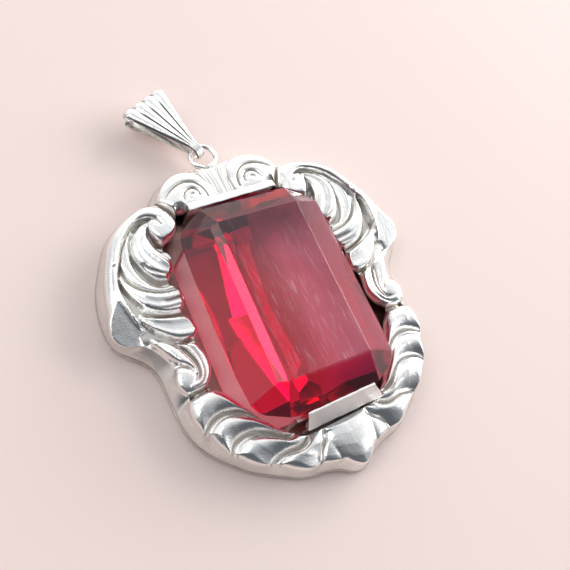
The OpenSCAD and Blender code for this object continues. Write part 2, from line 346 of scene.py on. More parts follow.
# first leaf: a smooth convex back, a broad hollow beside its inner rim
patch([(-9.9, 16.3), (-11.0, 16.7), (-12.2, 16.5), (-13.3, 15.8), (-14.3, 14.8), (-14.8, 13.7), (-14.9, 12.6), (-14.7, 11.5),
       (-14.3, 10.4), (-13.7, 9.3), (-13.0, 8.6), (-12.0, 8.3), (-10.9, 8.4)],
      [(-10.4, 16.0), (-11.1, 15.9), (-11.6, 15.5), (-11.9, 14.7), (-11.9, 13.8), (-11.7, 12.9), (-11.2, 12.0), (-10.7, 11.3),
       (-10.2, 10.6), (-9.9, 9.7)],
      [-1.9, -2.0, -2.3, -2.4], [-1.9, -2.0, -2.2, -2.3], [.1, .55, .85, .85, .6],
      prof=[0, .55, .8, .93, 1.0, 1.0, .92, .82, .76, .76, .84, .94, .92, .8, .5, .1], z=-1.8,
      lines=[(.85, [.1, .2, .24, .2], .13, .1, 0)])
groove([(-14.2, 11.7), (-13.7, 10.5), (-12.8, 9.7), (-11.9, 9.2), (-10.8, 9.1)], [.1, .3, .34, .34], .17, z=-1.9, t0=.2, t1=0)
groove([(-14.8, 14.0), (-15.1, 12.8), (-15.05, 11.5), (-14.75, 10.2), (-14.25, 9.2), (-13.6, 8.4), (-12.8, 8.0), (-11.8, 7.95)],
       [.1, .35, .7, .85, .85, .8], [.12, .18, .26, .32, .34, .32], z=-2.2, t0=.05, t1=0, sharp=1.8, dark=.6)
# second leaf
patch([(-17.4, 10.9), (-16.8, 9.8), (-16.1, 8.7), (-15.2, 7.85), (-14.1, 7.25), (-12.8, 6.9), (-11.1, 6.8)],
      [(-17.5, 10.4), (-17.35, 9.0), (-17.05, 7.8), (-16.6, 6.7), (-16.0, 5.7), (-15.2, 4.9), (-14.2, 4.35), (-13.1, 4.05), (-11.6, 3.95)],
      [-1.8, -2.0, -2.15, -2.35], [-1.9, -2.15, -2.35, -2.45], [.05, .4, .7, .75, .6],
      prof=[0, .78, .95, 1, .97, .9, .86, .87, .92, .97, .93, .78, .45, 0], z=-1.9,
      lines=[(.16, .18, .14, .1, .0)])
groove([(-14.3, 5.85), (-13.2, 5.65), (-11.4, 5.65)], [.1, .3, .36], .22, z=-1.8, t0=.35, t1=0, dark=.8)
groove([(-14.6, 5.2), (-13.4, 4.85), (-11.6, 4.75)], [.1, .26, .3], .18, z=-1.9, t0=.3, t1=0, dark=.8)
# third leaf: a narrow crest along each long side, flat between
patch([(-17.25, 5.4), (-16.4, 4.75), (-15.4, 4.25), (-14.4, 3.9), (-13.3, 3.6), (-11.7, 3.2)],
      [(-17.15, 4.3), (-16.3, 3.0), (-15.5, 2.0), (-14.6, 1.1), (-13.8, .5), (-12.7, .15), (-11.3, 0)],
      [-2.15, -2.3, -2.4], [-2.3, -2.45, -2.5], [.35, .65, .72, .65],
      prof=[0, .85, 1, .93, .85, .82, .82, .83, .86, .93, 1.0, .85, .5, 0], z=-1.9)
groove([(-17.6, 10.4), (-17.7, 9.0), (-17.5, 7.8), (-17.25, 6.9), (-17.15, 6.2)], [.3, .7, .9, .9], [.16, .24, .3, .34], z=-2.0, t0=.25, t1=0,
       sharp=1.6, dark=.7)
groove([(-17.2, 6.2), (-16.4, 5.4), (-15.3, 4.6), (-14.2, 4.15), (-13.1, 3.85), (-11.6, 3.6)], .6, .2, z=-2.2, t0=.02, t1=0)
ridge([(-17.8, 11.6), (-18.1, 9.9), (-18.2, 8.1), (-18.1, 6.7), (-17.8, 5.5), (-17.4, 4.3), (-17.2, 3.5)], .22, .42, z=-1.7)
pit((-17.5, 12.1), .22, .35)
pit((-17.45, 5.8), .26, .8, z=-1.9)
# the curl that ends the scroll, and the crevice under it
dome((-9.5, 15.2), 2.25, -1.25, .95, 3.6, z=-1.4)
groove([(-9.6, 15.5), (-9.8, 16.2), (-10.2, 16.7), (-10.9, 17.1), (-11.9, 17.2), (-12.8, 16.8), (-13.7, 16.3), (-14.5, 15.6),
        (-15.3, 14.7), (-16.0, 13.6), (-16.4, 12.8), (-16.7, 11.8), (-16.6, 10.8), (-16.4, 9.8), (-15.8, 8.8), (-15.0, 8.0),
        (-14.0, 7.4), (-12.7, 7.0), (-11.2, 6.9)],
       [.45, .5, .5, .42, .38, .36, .34, .3, .28, .26], .15, z=-1.7, t0=.015, t1=0, dark=.9)
groove([(-13.4, 16.0), (-14.2, 15.3), (-14.7, 14.2), (-15.0, 13.2)], .2, .13, z=-1.8, t0=.3, t1=.2, dark=.8)
groove([(-11.5, 15.8), (-11.75, 15.0), (-11.6, 14.1), (-11.3, 13.3), (-10.8, 12.8), (-10.1, 12.7)], [.3, .8, 1.2, 1.3, 1.3],
       [.14, .26, .34, .4], z=-2.3, t0=.1, t1=0, sharp=1.5)

# ---- top volute
dome((-4.3, 17.9), 5.0, -1.05, 1.55, 2.0)
groove([(-8.0, 18.7), (-7.0, 19.8), (-5.8, 20.5), (-4.4, 20.85), (-3.2, 20.55), (-2.4, 19.8), (-2.0, 18.9), (-1.9, 17.8)],
       [.2, .34, .42, .46, .46], [.24, .26, .22, .2], z=-1.2, t0=.15, t1=.0, dark=1)
groove([(-5.3, 17.6), (-5.2, 18.6), (-4.6, 19.4), (-3.6, 19.6), (-2.95, 19.05), (-2.9, 18.3), (-3.3, 17.8)],
       [.26, .4, .44, .4], .2, z=-1.1, t0=.15, t1=.15, dark=1)
groove([(-4.5, 17.9), (-4.3, 18.5), (-3.8, 18.7), (-3.5, 18.35)], .26, .14, z=-1.0, dark=.9)
# neck flutes between the volutes, fanning out to the ring
patch([(-1.2, 16.3), (-1.15, 18.0), (-1.1, 19.3), (-1.45, 20.7), (-2.1, 22.2)], [(.5, 16.3), (.5, 18.5), (.5, 20), (.5, 21), (.5, 22.2)],
      [-1.9, -1.75, -1.7, -1.9], -1.7, .1, z=-1.7, lines=[(.2, .26, .14), (.42, .22, .12), (.6, .22, .12), (.76, .26, .12)])
groove([(-1.25, 16.9), (-1.2, 18.2), (-1.15, 19.3), (-1.5, 20.7), (-2.2, 22.0)], .34, .2, z=-1.7, dark=.7)
# crevice between the top volute and the scroll
groove([(-9.2, 19.3), (-8.6, 18.4), (-8.0, 17.4), (-7.5, 16.4), (-7.2, 15.2)], [.6, .95, 1.2, 1.4], [.22, .3, .4, .5], z=-1.9, t0=0, t1=0, sharp=1.6)
groove([(-5.8, 17.2), (-6.1, 16.7), (-6.5, 15.9)], .3, .2, z=-1.9, t1=0, sharp=1.2)
groove([(-9.3, 18.2), (-8.75, 17.2), (-8.4, 16.1), (-8.4, 15.0)], .14, .14, z=-1.6, dark=.5)

# ---- lower stem, which wraps round the lower volute
patch([(-17.4, 1.6), (-17.0, 1.1), (-16.5, .1), (-15.9, -1.1), (-15.3, -2.0), (-14.7, -2.6), (-14.2, -3.1), (-13.9, -4.0)],
      [(-15.3, .9), (-14.5, .4), (-14.0, -.4), (-13.5, -1.5), (-13.2, -2.5), (-13.15, -3.6), (-13.4, -4.4)],
      [-2.45, -2.4, -2.3, -2.2], [-2.4, -2.35, -2.2], [.5, .7, .7, .5], z=-2.0, edge=.08,
      prof=[0, .6, .85, .97, 1.0, .98, .92, .82, .66, .4, 0])
patch([(-14.9, .7), (-14.0, -.3), (-13.5, -1.4), (-13.2, -2.5), (-13.2, -3.6), (-13.5, -4.4), (-14.1, -4.85), (-14.9, -4.95)],
      [(-13.4, .3), (-12.5, -.3), (-12.0, -1.0), (-11.5, -2.4), (-11.6, -3.8), (-12.1, -5.2), (-13.1, -6.1), (-14.2, -6.35), (-15.4, -6.1)],
      [-2.35, -2.3, -2.2, -2.1], [-2.4, -2.45, -2.5], [.45, .6, .6, .5], z=-2.0, edge=.08,
      prof=[0, .7, .95, 1.0, .97, .95, .97, 1.0, .93, .7, 0], lines=[(.46, [.16, .3, .3, .14], .17, .12, .15)])
dome((-15.0, -4.1), 1.95, -1.75, .95, 2.4)
groove([(-14.9, .6), (-14.0, -.35), (-13.5, -1.45), (-13.2, -2.5), (-13.2, -3.6), (-13.45, -4.35), (-14.05, -4.85), (-14.9, -4.9)],
       [.2, .5, .5, .4, .25], [.3, .34, .26, .18], z=-2.1, t0=.1, t1=.2, dark=.6)
groove([(-16.1, -2.9), (-15.5, -2.45), (-14.8, -2.55), (-14.2, -3.1), (-13.9, -4.0)], [.2, .4, .36, .2], .17, z=-2.0, t0=.1, t1=.2, dark=.8)
# hole and crevices round the foot of the leaves
groove([(-17.6, 3.0), (-17.4, 2.3), (-17.4, 1.5)], .9, [.2, .35, .35], z=-2.4, t0=.1, t1=.1, sharp=1.6)
groove([(-17.2, 3.1), (-16.6, 2.4), (-16.0, 1.8), (-15.2, 1.0), (-14.4, .35), (-13.5, .1), (-12.4, -.1)], [.9, .6, .5, .7, .8], [.26, .3, .34, .3],
       z=-2.4, t0=.05, t1=0, sharp=1.7, dark=.7)
groove([(-16.9, -6.15), (-15.6, -6.3), (-14.3, -6.2), (-13.4, -6.1), (-12.3, -6.05)], .9, .26, z=-2.3, t0=0, t1=0, sharp=1.4)

# ---- centre shell under the lower tab: a broad middle lobe, a narrower one each side
patch([(-5.0, -15.2), (-4.4, -15.9), (-3.9, -16.8), (-4.2, -17.9), (-4.9, -19.2), (-5.4, -20.4)],
      [(.5, -15.2), (.5, -16), (.5, -17.5), (.5, -19), (.5, -21), (.5, -22.8)],
      [-2.5, -2.1, -1.95, -2.15, -2.7], [-2.3, -1.7, -1.5, -1.55, -1.9, -2.6], .2, sq=2.2, z=-1.9)
groove([(-2.45, -21.0), (-2.4, -20.2), (-2.6, -19), (-2.75, -17.8), (-2.7, -16.6)], [.34, .22, .16, .14, .2], [.35, .5, .6], z=-2.0, t0=0, t1=.1,
       dark=.35)

# ---- gadroons, each lying over the one below it: crest near the upper edge, a long flank below
GAD = [0, .5, .64, .82, .94, 1.0, 1.0, .94, .84, .71, .55, .34, 0]
patch([(-10.6, -17.9), (-9.9, -17.3), (-9.0, -16.95), (-8, -16.95), (-7, -17.1), (-6, -17.0), (-5.2, -16.6), (-4.7, -16.1), (-3.8, -15.7)],
      [(-5.6, -20.6), (-4.9, -19.8), (-4.3, -18.8), (-3.8, -18.2), (-3.3, -17.8), (-3.05, -17.2), (-2.9, -16.6), (-2.75, -16), (-2.7, -15.6)],
      [-2.5, -2.45, -2.35], [-2.7, -2.5, -2.2], [.8, 1.05, .9, .35], prof=GAD, z=-1.9, lines=[(.13, .24, .13)])
patch([(-14.4, -15.4), (-13.95, -14.4), (-13.4, -13.6), (-12.6, -13.15), (-11.6, -13.05), (-10.6, -13.25), (-9.8, -13.65), (-9, -14.15),
       (-8.3, -14.75), (-7.6, -15.2), (-6.8, -15.35), (-5.9, -15.35), (-5.1, -15.7)],
      [(-11.2, -17.8), (-10.6, -17.35), (-9.8, -17.0), (-9, -16.85), (-8, -16.9), (-7, -17.02), (-6.2, -16.95), (-5.4, -16.6), (-5.0, -16.2)],
      [-2.5, -2.45, -2.35], [-2.7, -2.6, -2.3], [.85, 1.1, .95, .45], prof=GAD, z=-1.9, lines=[(.13, .24, .13)])
patch([(-16.6, -11.9), (-15.9, -11.0), (-15.3, -10.55), (-14.7, -10.15), (-13.8, -9.8), (-12.9, -9.75), (-12, -9.95), (-11.2, -10.35), (-10.3, -11),
       (-9.3, -12.1), (-8.4, -13.1), (-7.5, -14), (-6.8, -14.6), (-5.9, -15.2)],
      [(-14.6, -15.4), (-14.0, -14.4), (-13.4, -13.5), (-12.6, -13.05), (-11.6, -12.95), (-10.6, -13.15), (-9.8, -13.55), (-9, -14.05),
       (-8.3, -14.65), (-7.6, -15.1), (-6.9, -15.28), (-6.1, -15.3)],
      [-2.5, -2.45, -2.3], [-2.7, -2.6, -2.3], [.85, 1.1, 1.0, .45], prof=GAD, z=-1.9, lines=[(.14, .24, .13)])
patch([(-17.3, -7.6), (-16.4, -6.85), (-15.4, -6.55), (-14.2, -6.4), (-13, -6.45), (-12.1, -6.9), (-11.2, -7.9), (-10.5, -9), (-9.6, -10.4)],
      [(-16.6, -11.7), (-15.8, -10.9), (-14.7, -10.05), (-13.8, -9.7), (-12.9, -9.65), (-12, -9.85), (-11.2, -10.2), (-10.4, -10.8), (-9.4, -11.9)],
      [-2.5, -2.4, -2.3], [-2.7, -2.6, -2.3], [.85, 1.1, 1.05, .55], prof=[0, .55, .8, .94, 1.0, 1.0, .95, .86, .72, .48, 0], z=-1.9)
for line, dep in (([(-16.6, -11.6), (-15.6, -10.75), (-14.7, -10.1), (-13.8, -9.75), (-12.9, -9.7), (-12, -9.9), (-11.2, -10.25), (-10.4, -10.85),
                    (-9.3, -12.0), (-8.5, -13)], .35),
                  ([(-14.5, -15.3), (-14.0, -14.4), (-13.4, -13.5), (-12.6, -13.1), (-11.6, -13.0), (-10.6, -13.2), (-9.8, -13.6), (-9, -14.1),
                    (-8.3, -14.7), (-7.6, -15.15), (-6.9, -15.3), (-6.1, -15.3)], .35),
                  ([(-11.2, -17.9), (-10.5, -17.4), (-9.8, -17.05), (-9, -16.9), (-8, -16.92), (-7, -17.05), (-6.2, -17), (-5.4, -16.6), (-5.0, -16.1)], .35),
                  ([(-5.3, -20.3), (-4.75, -19.6), (-4.25, -18.7), (-3.75, -18.1), (-3.3, -17.7), (-3.0, -17.1), (-2.75, -16.2)], .35)):
    groove(line, dep, .15, z=-2.2, t0=0, t1=.1, dark=.8)

# ---- every feature rolls down to the struck edges
def edge_distance(curve):
    half = curve[(curve[:, 0] < 1.5)]
    out = np.full(XX.shape, 1e9)
    p, q = curve, np.roll(curve, -1, 0)
    for a, b in zip(p, q):
        if min(a[0], b[0]) > 1.5:
            continue
        lo = np.minimum(a, b) - 1.8
        hi = np.maximum(a, b) + 1.8
        i0, i1 = np.searchsorted(GX, [lo[0], hi[0]])
        j0, j1 = np.searchsorted(GY, [lo[1], hi[1]])
        if i1 <= i0 or j1 <= j0:
            continue
        X, Y = XX[j0:j1, i0:i1], YY[j0:j1, i0:i1]
        ex, ey = b - a
        l2 = ex * ex + ey * ey + 1e-12
        t = np.clip(((X - a[0]) * ex + (Y - a[1]) * ey) / l2, 0, 1)
        d = np.sqrt((X - a[0] - t * ex) ** 2 + (Y - a[1] - t * ey) ** 2)
        out[j0:j1, i0:i1] = np.minimum(out[j0:j1, i0:i1], d)
    return out


s_out = edge_distance(EDGE_C)
s_in = edge_distance(TIPS_C)
EDGE_Z, TIP_Z = -2.8, -2.75
roll = 1.3 + .6 * smooth01((-YY - 5.5) / 2)            # the gadroons roll over more slowly
cap_out = EDGE_Z + 1.45 * np.sqrt(1 - (1 - np.clip(s_out / roll, 0, 1)) ** 2) + np.clip(s_out - .8 * roll, 0, 9)
curl = np.exp(-(((XX + 9.4) ** 2 + (YY - 15.2) ** 2) / 2.4 ** 2) ** 2)      # the curl stands on a steeper wall
under_tab = smooth01((6.3 + XX) / .8) * smooth01((np.abs(YY) - 15) / .5)   # no rounding where a tab covers the edge
lip = .36 - .1 * under_tab
over_tab = under_tab * (YY > 0)
cap_in = (TIP_Z + (.85 + .65 * curl + .8 * over_tab) * np.sqrt(1 - (1 - np.clip(s_in / lip, 0, 1)) ** 2)
          + np.clip(s_in - .75 * lip, 0, 9) * (1.0 - .3 * under_tab))


def soft_min(a, b, k=0.12):
    h = np.clip(0.5 + 0.5 * (b - a) / k, 0, 1)
    return b * (1 - h) + a * h - k * h * (1 - h)


H = soft_min(H, cap_out)
H = soft_min(H, cap_in)
H = np.maximum(H, -3.35)


def blur(a, n=1):
    for _ in range(n):
        p = np.pad(a, 1, mode="edge")
        a = (p[1:-1, 1:-1] * 4 + (p[:-2, 1:-1] + p[2:, 1:-1] + p[1:-1, :-2] + p[1:-1, 2:]) * 2
             + p[:-2, :-2] + p[:-2, 2:] + p[2:, :-2] + p[2:, 2:]) / 16
    return a


H = blur(H, 2)
wide = blur(H, 22)
hollow = np.clip((wide - H - 0.12) * 2.2, 0, 1)         # recesses that keep their tarnish
DARK = np.clip(np.maximum(blur(DARK, 1), 0.7 * hollow), 0, 1)
near = smooth01((6.1 + XX) / .5) * smooth01((YY + 17.0) / .3) * smooth01((-13.0 - YY) / .5)
H = H - near * np.maximum(H - (-1.75 - (YY + 16.0) * .6), 0)


def lookup(field, x, y):
    fx = np.clip((np.asarray(x) - GX[0]) / STEP, 0, len(GX) - 1.001)
    fy = np.clip((np.asarray(y) - GY[0]) / STEP, 0, len(GY) - 1.001)
    i, j = fx.astype(int), fy.astype(int)
    a, b = fx - i, fy - j
    return (field[j, i] * (1 - a) * (1 - b) + field[j, i + 1] * a * (1 - b)
            + field[j + 1, i] * (1 - a) * b + field[j + 1, i + 1] * a * b)


# ------------------------------------------------------------------ mesh helpers
def make_object(name, verts_mm, faces, smooth=True):
    me = bpy.data.meshes.new(name)
    me.from_pydata([tuple(v) for v in world_pts(verts_mm)], [], faces)
    me.validate()
    me.update()
    if smooth:
        me.polygons.foreach_set("use_smooth", [True] * len(me.polygons))
    ob = bpy.data.objects.new(name, me)
    bpy.context.scene.collection.objects.link(ob)
    return ob


def point_value(ob, name, values):
    at = ob.data.attributes.new(name, "FLOAT", "POINT")
    at.data.foreach_set("value", np.asarray(values, np.float32))


def mark_sharp(ob, degrees):
    bm = bmesh.new()
    bm.from_mesh(ob.data)
    for e in bm.edges:
        e.smooth = not (len(e.link_faces) == 2 and e.calc_face_angle(0) > math.radians(degrees))
    bm.to_mesh(ob.data)
    bm.free()


# ------------------------------------------------------------------ front shell
NA = 1200
ANG = np.linspace(0, 2 * np.pi, NA, endpoint=False)
re_, rf_, rt_ = ray(EDGE_C, ANG), ray(FOOT_C, ANG), ray(TIPS_C, ANG)


def circ_smooth(a, n):
    for _ in range(n):
        a = (np.roll(a, 1) + 2 * a + np.roll(a, -1)) / 4
    return a


re_ = circ_smooth(re_, 3)
rf_ = circ_smooth(rf_, 6)
rt_ = circ_smooth(rt_, 2)
CA, SA = np.cos(ANG), np.sin(ANG)


def ring(r, z):
    return np.stack([r * CA, r * SA, np.broadcast_to(z, r.shape)], 1)


rings, darks = [], []
Z_FOOT = 0.6 - GIRDLE
# the side wall, from its foot on the back plate up to the struck edge
for w in (0, .05, .09, .12, .16, .24, .36, .5, .64, .78, .9):
    bead = 0.05 * math.exp(-((w - .07) / .03) ** 2) - 0.05 * math.exp(-((w - .125) / .025) ** 2)
    f = w ** 1.15
    r = rf_ + (re_ - rf_) * f + bead
    rings.append(ring(r, Z_FOOT + (EDGE_Z - Z_FOOT) * w))
    darks.append(np.full(NA, 0.5 * math.exp(-((w - .125) / .03) ** 2) + .20))
# the relief, from the edge in to the leaf tips
NT = 64
t = np.linspace(0, 1, NT)
t = t + 0.035 * np.sin(2 * np.pi * t) * -1          # closer rings near both edges
for k, f in enumerate(t):
    r = re_ + (rt_ - re_) * f
    x, y = r * CA, r * SA
    z = lookup(H, -np.abs(x), y)
    if k == 0:
        z = np.full(NA, EDGE_Z + .02)
    rings.append(ring(r, z))
    darks.append(lookup(DARK, -np.abs(x), y))
# the lip, then the underside of the sheet back to the foot
rings.append(ring(rt_ + .02, TIP_Z - .25))
darks.append(np.full(NA, .25))
rings.append(ring(rt_ + .14, TIP_Z - .45))
darks.append(np.full(NA, .35))
for f, dz in ((.8, 0), (.6, .25), (.4, .35), (.2, .2)):
    r = re_ + (rt_ - re_) * f
    rings.append(ring(r, EDGE_Z - .1 + dz - .35))
    darks.append(np.full(NA, .4))
rings.append(ring(re_ - .55, EDGE_Z - .55))
darks.append(np.full(NA, .4))
rings.append(ring(rf_ - .6, Z_FOOT))
darks.append(np.full(NA, .4))
M = len(rings)
V = np.concatenate(rings)
quads = []
for i in range(M):
    a, b = i * NA, ((i + 1) % M) * NA
    for k in range(NA):
        l = (k + 1) % NA
        quads.append((a + k, a + l, b + l, b + k))
shell = make_object("front_shell_relief", V, quads)
point_value(shell, "patina", np.concatenate(darks))
bm = bmesh.new()
bm.from_mesh(shell.data)
bmesh.ops.recalc_face_normals(bm, faces=bm.faces)
bm.to_mesh(shell.data)
bm.free()
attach(shell, "frame")
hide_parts("front_shell")


# ------------------------------------------------------------------ stone
def octagon(w, l, c):
    return [(w/2, l/2-c), (w/2-c, l/2), (c-w/2, l/2), (-w/2, l/2-c), (-w/2, c-l/2), (c-w/2, -l/2), (w/2-c, -l/2), (w/2, c-l/2)]


def rotz(p, deg):
    a = math.radians(deg)
    p = np.asarray(p, float)
    return np.stack([p[:, 0] * math.cos(a) - p[:, 1] * math.sin(a), p[:, 0] * math.sin(a) + p[:, 1] * math.cos(a), p[:, 2]], 1)


STONE_TURN = -3.4
SW, SL, CORNER, CROWN, PAV = 10.0, 15.0, 3.75, 3.3, 4.7


def plane_through(p, q, r_):
    p, q, r_ = (np.asarray(k, float) for k in (p, q, r_))
    n = np.cross(q - p, r_ - p)
    n /= np.linalg.norm(n)
    if n @ p < 0:
        n = -n
    return n, p


def cuts():
    """Facet planes of the stone, each as an outward normal and a point on it."""
    out = [(np.array([0, 0, 1.0]), np.array([0, 0, CROWN])), (np.array([0, 0, -1.0]), np.array([0, 0, -.3 - PAV]))]
    for sx in (-1, 1):
        out.append((np.array([sx, 0, 0.0]), np.array([sx * SW, 0, 0])))
        # long sides: main facet, and on the left a narrow step beside the table
        if sx < 0:
            out.append(plane_through((sx * SW, 0, 0), (sx * SW, 1, 0), (sx * 6.5, 0, 2.86)))
            out.append(plane_through((sx * 6.5, 0, 2.86), (sx * 6.5, 1, 2.86), (sx * 5.45, 0, CROWN)))
        else:
            out.append(plane_through((sx * SW, 0, 0), (sx * SW, 1, 0), (sx * 5.45, 0, CROWN)))
        for z0_, x0_, z1_, x1_, k_ in ((-.3, SW, -2.3, 8.0, 0), (-2.1, 8.15, -3.95, 5.3, .17), (-2.1, 8.15, -3.95, 5.3, -.17),
                                       (-3.95, 5.3, -5.0, 2.0, .10), (-3.95, 5.3, -5.0, 2.0, -.10)):
            out.append(plane_through((sx * x0_, 0, z0_), (sx * (x0_ - k_), 1, z0_), (sx * x1_, 0, z1_)))
    for sy in (-1, 1):
        out.append((np.array([0, sy, 0.0]), np.array([0, sy * SL, 0])))
        out.append(plane_through((0, sy * SL, 0), (1, sy * SL, 0), (0, sy * 10.6, CROWN)))
        for z0_, y0_, z1_, y1_, k_ in ((-.3, SL, -2.1, 13.5, 0), (-2.0, 13.6, -4.9, 11.0, .3), (-2.0, 13.6, -4.9, 11.0, -.3)):
            out.append(plane_through((0, sy * y0_, z0_), (1, sy * (y0_ - k_), z0_), (0, sy * y1_, z1_)))
    for sx in (-1, 1):
        for sy in (-1, 1):
            a_, b_ = np.array([sx * SW, sy * (SL - CORNER), 0.0]), np.array([sx * (SW - CORNER), sy * SL, 0.0])
            n = np.cross(b_ - a_, [0, 0, 1.0])
            n /= np.linalg.norm(n)
            if n @ a_ < 0:
                n = -n
            out.append((n, a_))
            out.append(plane_through(a_, b_, (sx * 5.45, sy * 10.6, CROWN)))
            for d0, z0_, d1, z1_ in ((0, -.3, 1.95, -2.3), (1.95, -2.3, 4.5, -3.95), (4.5, -3.95, 8.3, -5.0)):
                dirn = np.array([n[0], n[1], 0])
                p0_, p1_ = a_ - dirn * d0, b_ - dirn * d0
                p2_ = a_ - dirn * d1
                out.append(plane_through((p0_[0], p0_[1], z0_), (p1_[0], p1_[1], z0_), (p2_[0], p2_[1], z1_)))
    return out


me = bpy.data.meshes.new("stone_cut")
stone = bpy.data.objects.new("stone_cut", me)
bpy.context.scene.collection.objects.link(stone)
bm = bmesh.new()
bmesh.ops.create_cube(bm, size=60)
for n, p in cuts():
    res = bmesh.ops.bisect_plane(bm, geom=bm.verts[:] + bm.edges[:] + bm.faces[:], plane_co=tuple(p), plane_no=tuple(n),
                                 clear_outer=True, dist=1e-5)
    cut = [e for e in res["geom_cut"] if isinstance(e, bmesh.types.BMEdge)]
    if len(cut) > 2:
        bmesh.ops.contextual_create(bm, geom=cut)
bmesh.ops.remove_doubles(bm, verts=bm.verts, dist=1e-3)
bmesh.ops.dissolve_degenerate(bm, edges=bm.edges, dist=1e-3)
bmesh.ops.recalc_face_normals(bm, faces=bm.faces)
bmesh.ops.bevel(bm, geom=[e for e in bm.edges], offset=.06, segments=1, profile=.5, affect="EDGES", clamp_overlap=True)
for v in bm.verts:
    q = rotz([v.co[:]], STONE_TURN)
    v.co = Vector(world_pts(q)[0])
bm.to_mesh(me)
bm.free()
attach(stone, "frame")
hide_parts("stone")


# ------------------------------------------------------------------ tabs
def strip(name, x0, y0, length, turn, profile, wob, bevel=0.05, segs=40, ends=None):
    """A bent strip: profile points (y, z) carried along x, edges slightly uneven.
    ends gives its left and right x at z -1.05 and at z .76, for ends cut on the slant."""
    pr = np.asarray(profile, float)
    xs = np.linspace(-length / 2, length / 2, segs)
    verts = []
    ph = rng.uniform(0, 6.28, (len(pr), 3))
    for x in xs:
        for k, (y, z) in enumerate(pr):
            dy = wob * (math.sin(x * 1.3 + ph[k, 0]) * .5 + math.sin(x * 3.1 + ph[k, 1]) * .35 + math.sin(x * 5.7 + ph[k, 2]) * .2)
            top = z > -1.3
            xx = x
            if ends:
                f = min(max((z + 1.05) / 1.81, 0), 1)
                xl, xr = (ends[0][i] + (ends[1][i] - ends[0][i]) * f for i in (0, 1))
                foot = .88 if z < -1.2 else 1.0           # the foot is narrower than the face
                xx = (xl + (xr - xl) * (x / length + .5)) * foot
            verts.append((xx, y + (dy if top else 0), z + (dy * .5 if top else 0)))
    n = len(pr)
    faces = [tuple(range(n - 1, -1, -1)), tuple((segs - 1) * n + i for i in range(n))]
    for s in range(segs - 1):
        for k in range(n):
            l = (k + 1) % n
            faces.append((s * n + k, s * n + l, (s + 1) * n + l, (s + 1) * n + k))
    v = rotz(verts, turn) + np.array([x0, y0, 0])
    ob = make_object(name, v, faces)
    bm = bmesh.new()
    bm.from_mesh(ob.data)
    bmesh.ops.recalc_face_normals(bm, faces=bm.faces)
    sharp = [e for e in bm.edges if len(e.link_faces) == 2 and e.calc_face_angle(0) > math.radians(30)]
    bmesh.ops.bevel(bm, geom=sharp, offset=bevel * 0.001, segments=2, profile=.5, affect="EDGES", clamp_overlap=True)
    for f in bm.faces:
        f.smooth = True
    bm.to_mesh(ob.data)
    bm.free()
    mark_sharp(ob, 50)
    return ob


bk = 0.6 - GIRDLE
up_prof = [(.15, bk), (.55, bk), (.54, -1.2), (.50, -.3), (.45, .1), (.38, .28), (.22, .38), (-.1, .45), (-.68, .57), (-.76, .48),
           (-.70, .3), (-.44, .1), (-.44, -.5), (.0, -2.5)]
upper = strip("upper_tab_strip", -.15, 15.5, 12.3, -1.5, up_prof, .035)
lo_prof = [(-.40, bk), (-.40, -2.2), (-.44, -1.35), (-.54, -.98), (.87, .71), (.94, .83), (1.2, .83), (1.23, .75), (.95, .52), (.6, .2),
           (.47, .02), (.45, -.4), (.1, -1.2), (-.04, -2.3), (-.06, bk)]
lower = strip("lower_tab_strip", .1, -15.5, 10.8, -1.5, lo_prof, .05, .04, ends=((-5.3, 5.5), (-4.95, 4.3)))
for ob, node in ((upper, "upper_tab"), (lower, "lower_tab")):
    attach(ob, "frame")
    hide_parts(node)

# ------------------------------------------------------------------ ring and solder
RING_Y, RING_Z, RING_R, WIRE = 23.7, 2.7 - GIRDLE, 1.75, 0.35
nu, nw = 96, 28
rv, rfc = [], []
for i in range(nu):
    a = 2 * math.pi * i / nu
    flat = 1 + .025 * math.sin(3 * a + 1) + .015 * math.sin(7 * a)
    for j in range(nw):
        b = 2 * math.pi * j / nw
        r = RING_R + WIRE * flat * math.cos(b)
        rv.append((r * math.cos(a), RING_Y + r * math.sin(a), RING_Z + WIRE * flat * math.sin(b)))
for i in range(nu):
    for j in range(nw):
        i2, j2 = (i + 1) % nu, (j + 1) % nw
        rfc.append((i * nw + j, i2 * nw + j, i2 * nw + j2, i * nw + j2))
ring_ob = make_object("hanging_ring_wire", rv, rfc)
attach(ring_ob, "frame")
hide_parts("hanging_ring")

# solder: a lump that wets the ring and creeps on to the neck
sol_v, sol_f = [], []
ns, nr = 40, 16
for j in range(nr + 1):
    ph = math.pi * j / nr
    for i in range(ns):
        th = 2 * math.pi * i / ns
        lump = 1 + math.sin(ph) * (.1 * math.sin(3 * th + 2 * ph) + .07 * math.sin(5 * th + 4 * ph + 1))
        x = .95 * lump * math.sin(ph) * math.cos(th)
        y = .42 * lump * math.sin(ph) * math.sin(th) + .12 * (x ** 2)
        z = .62 * lump * math.cos(ph)
        sol_v.append((x, 21.72 + y, RING_Z + z))
for j in range(nr):
    for i in range(ns):
        l = (i + 1) % ns
        sol_f.append((j * ns + i, j * ns + l, (j + 1) * ns + l, (j + 1) * ns + i))
solder = make_object("ring_solder_lump", sol_v, sol_f)
bm = bmesh.new()
bm.from_mesh(solder.data)
bmesh.ops.remove_doubles(bm, verts=bm.verts, dist=1e-7)
bmesh.ops.recalc_face_normals(bm, faces=bm.faces)
bm.to_mesh(solder.data)
bm.free()
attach(solder, "frame")
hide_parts("ring_solder")

# ------------------------------------------------------------------ bail
BAIL_L, FOLD_R, BAIL_W, TIP_W, BAIL_TURN = 10.3, 1.3, 7.2, 1.2, 23.0
v1 = BAIL_L - FOLD_R
SLACK = .5                        # the tip circle lies this far behind the ring wire
SHEET = 0.42


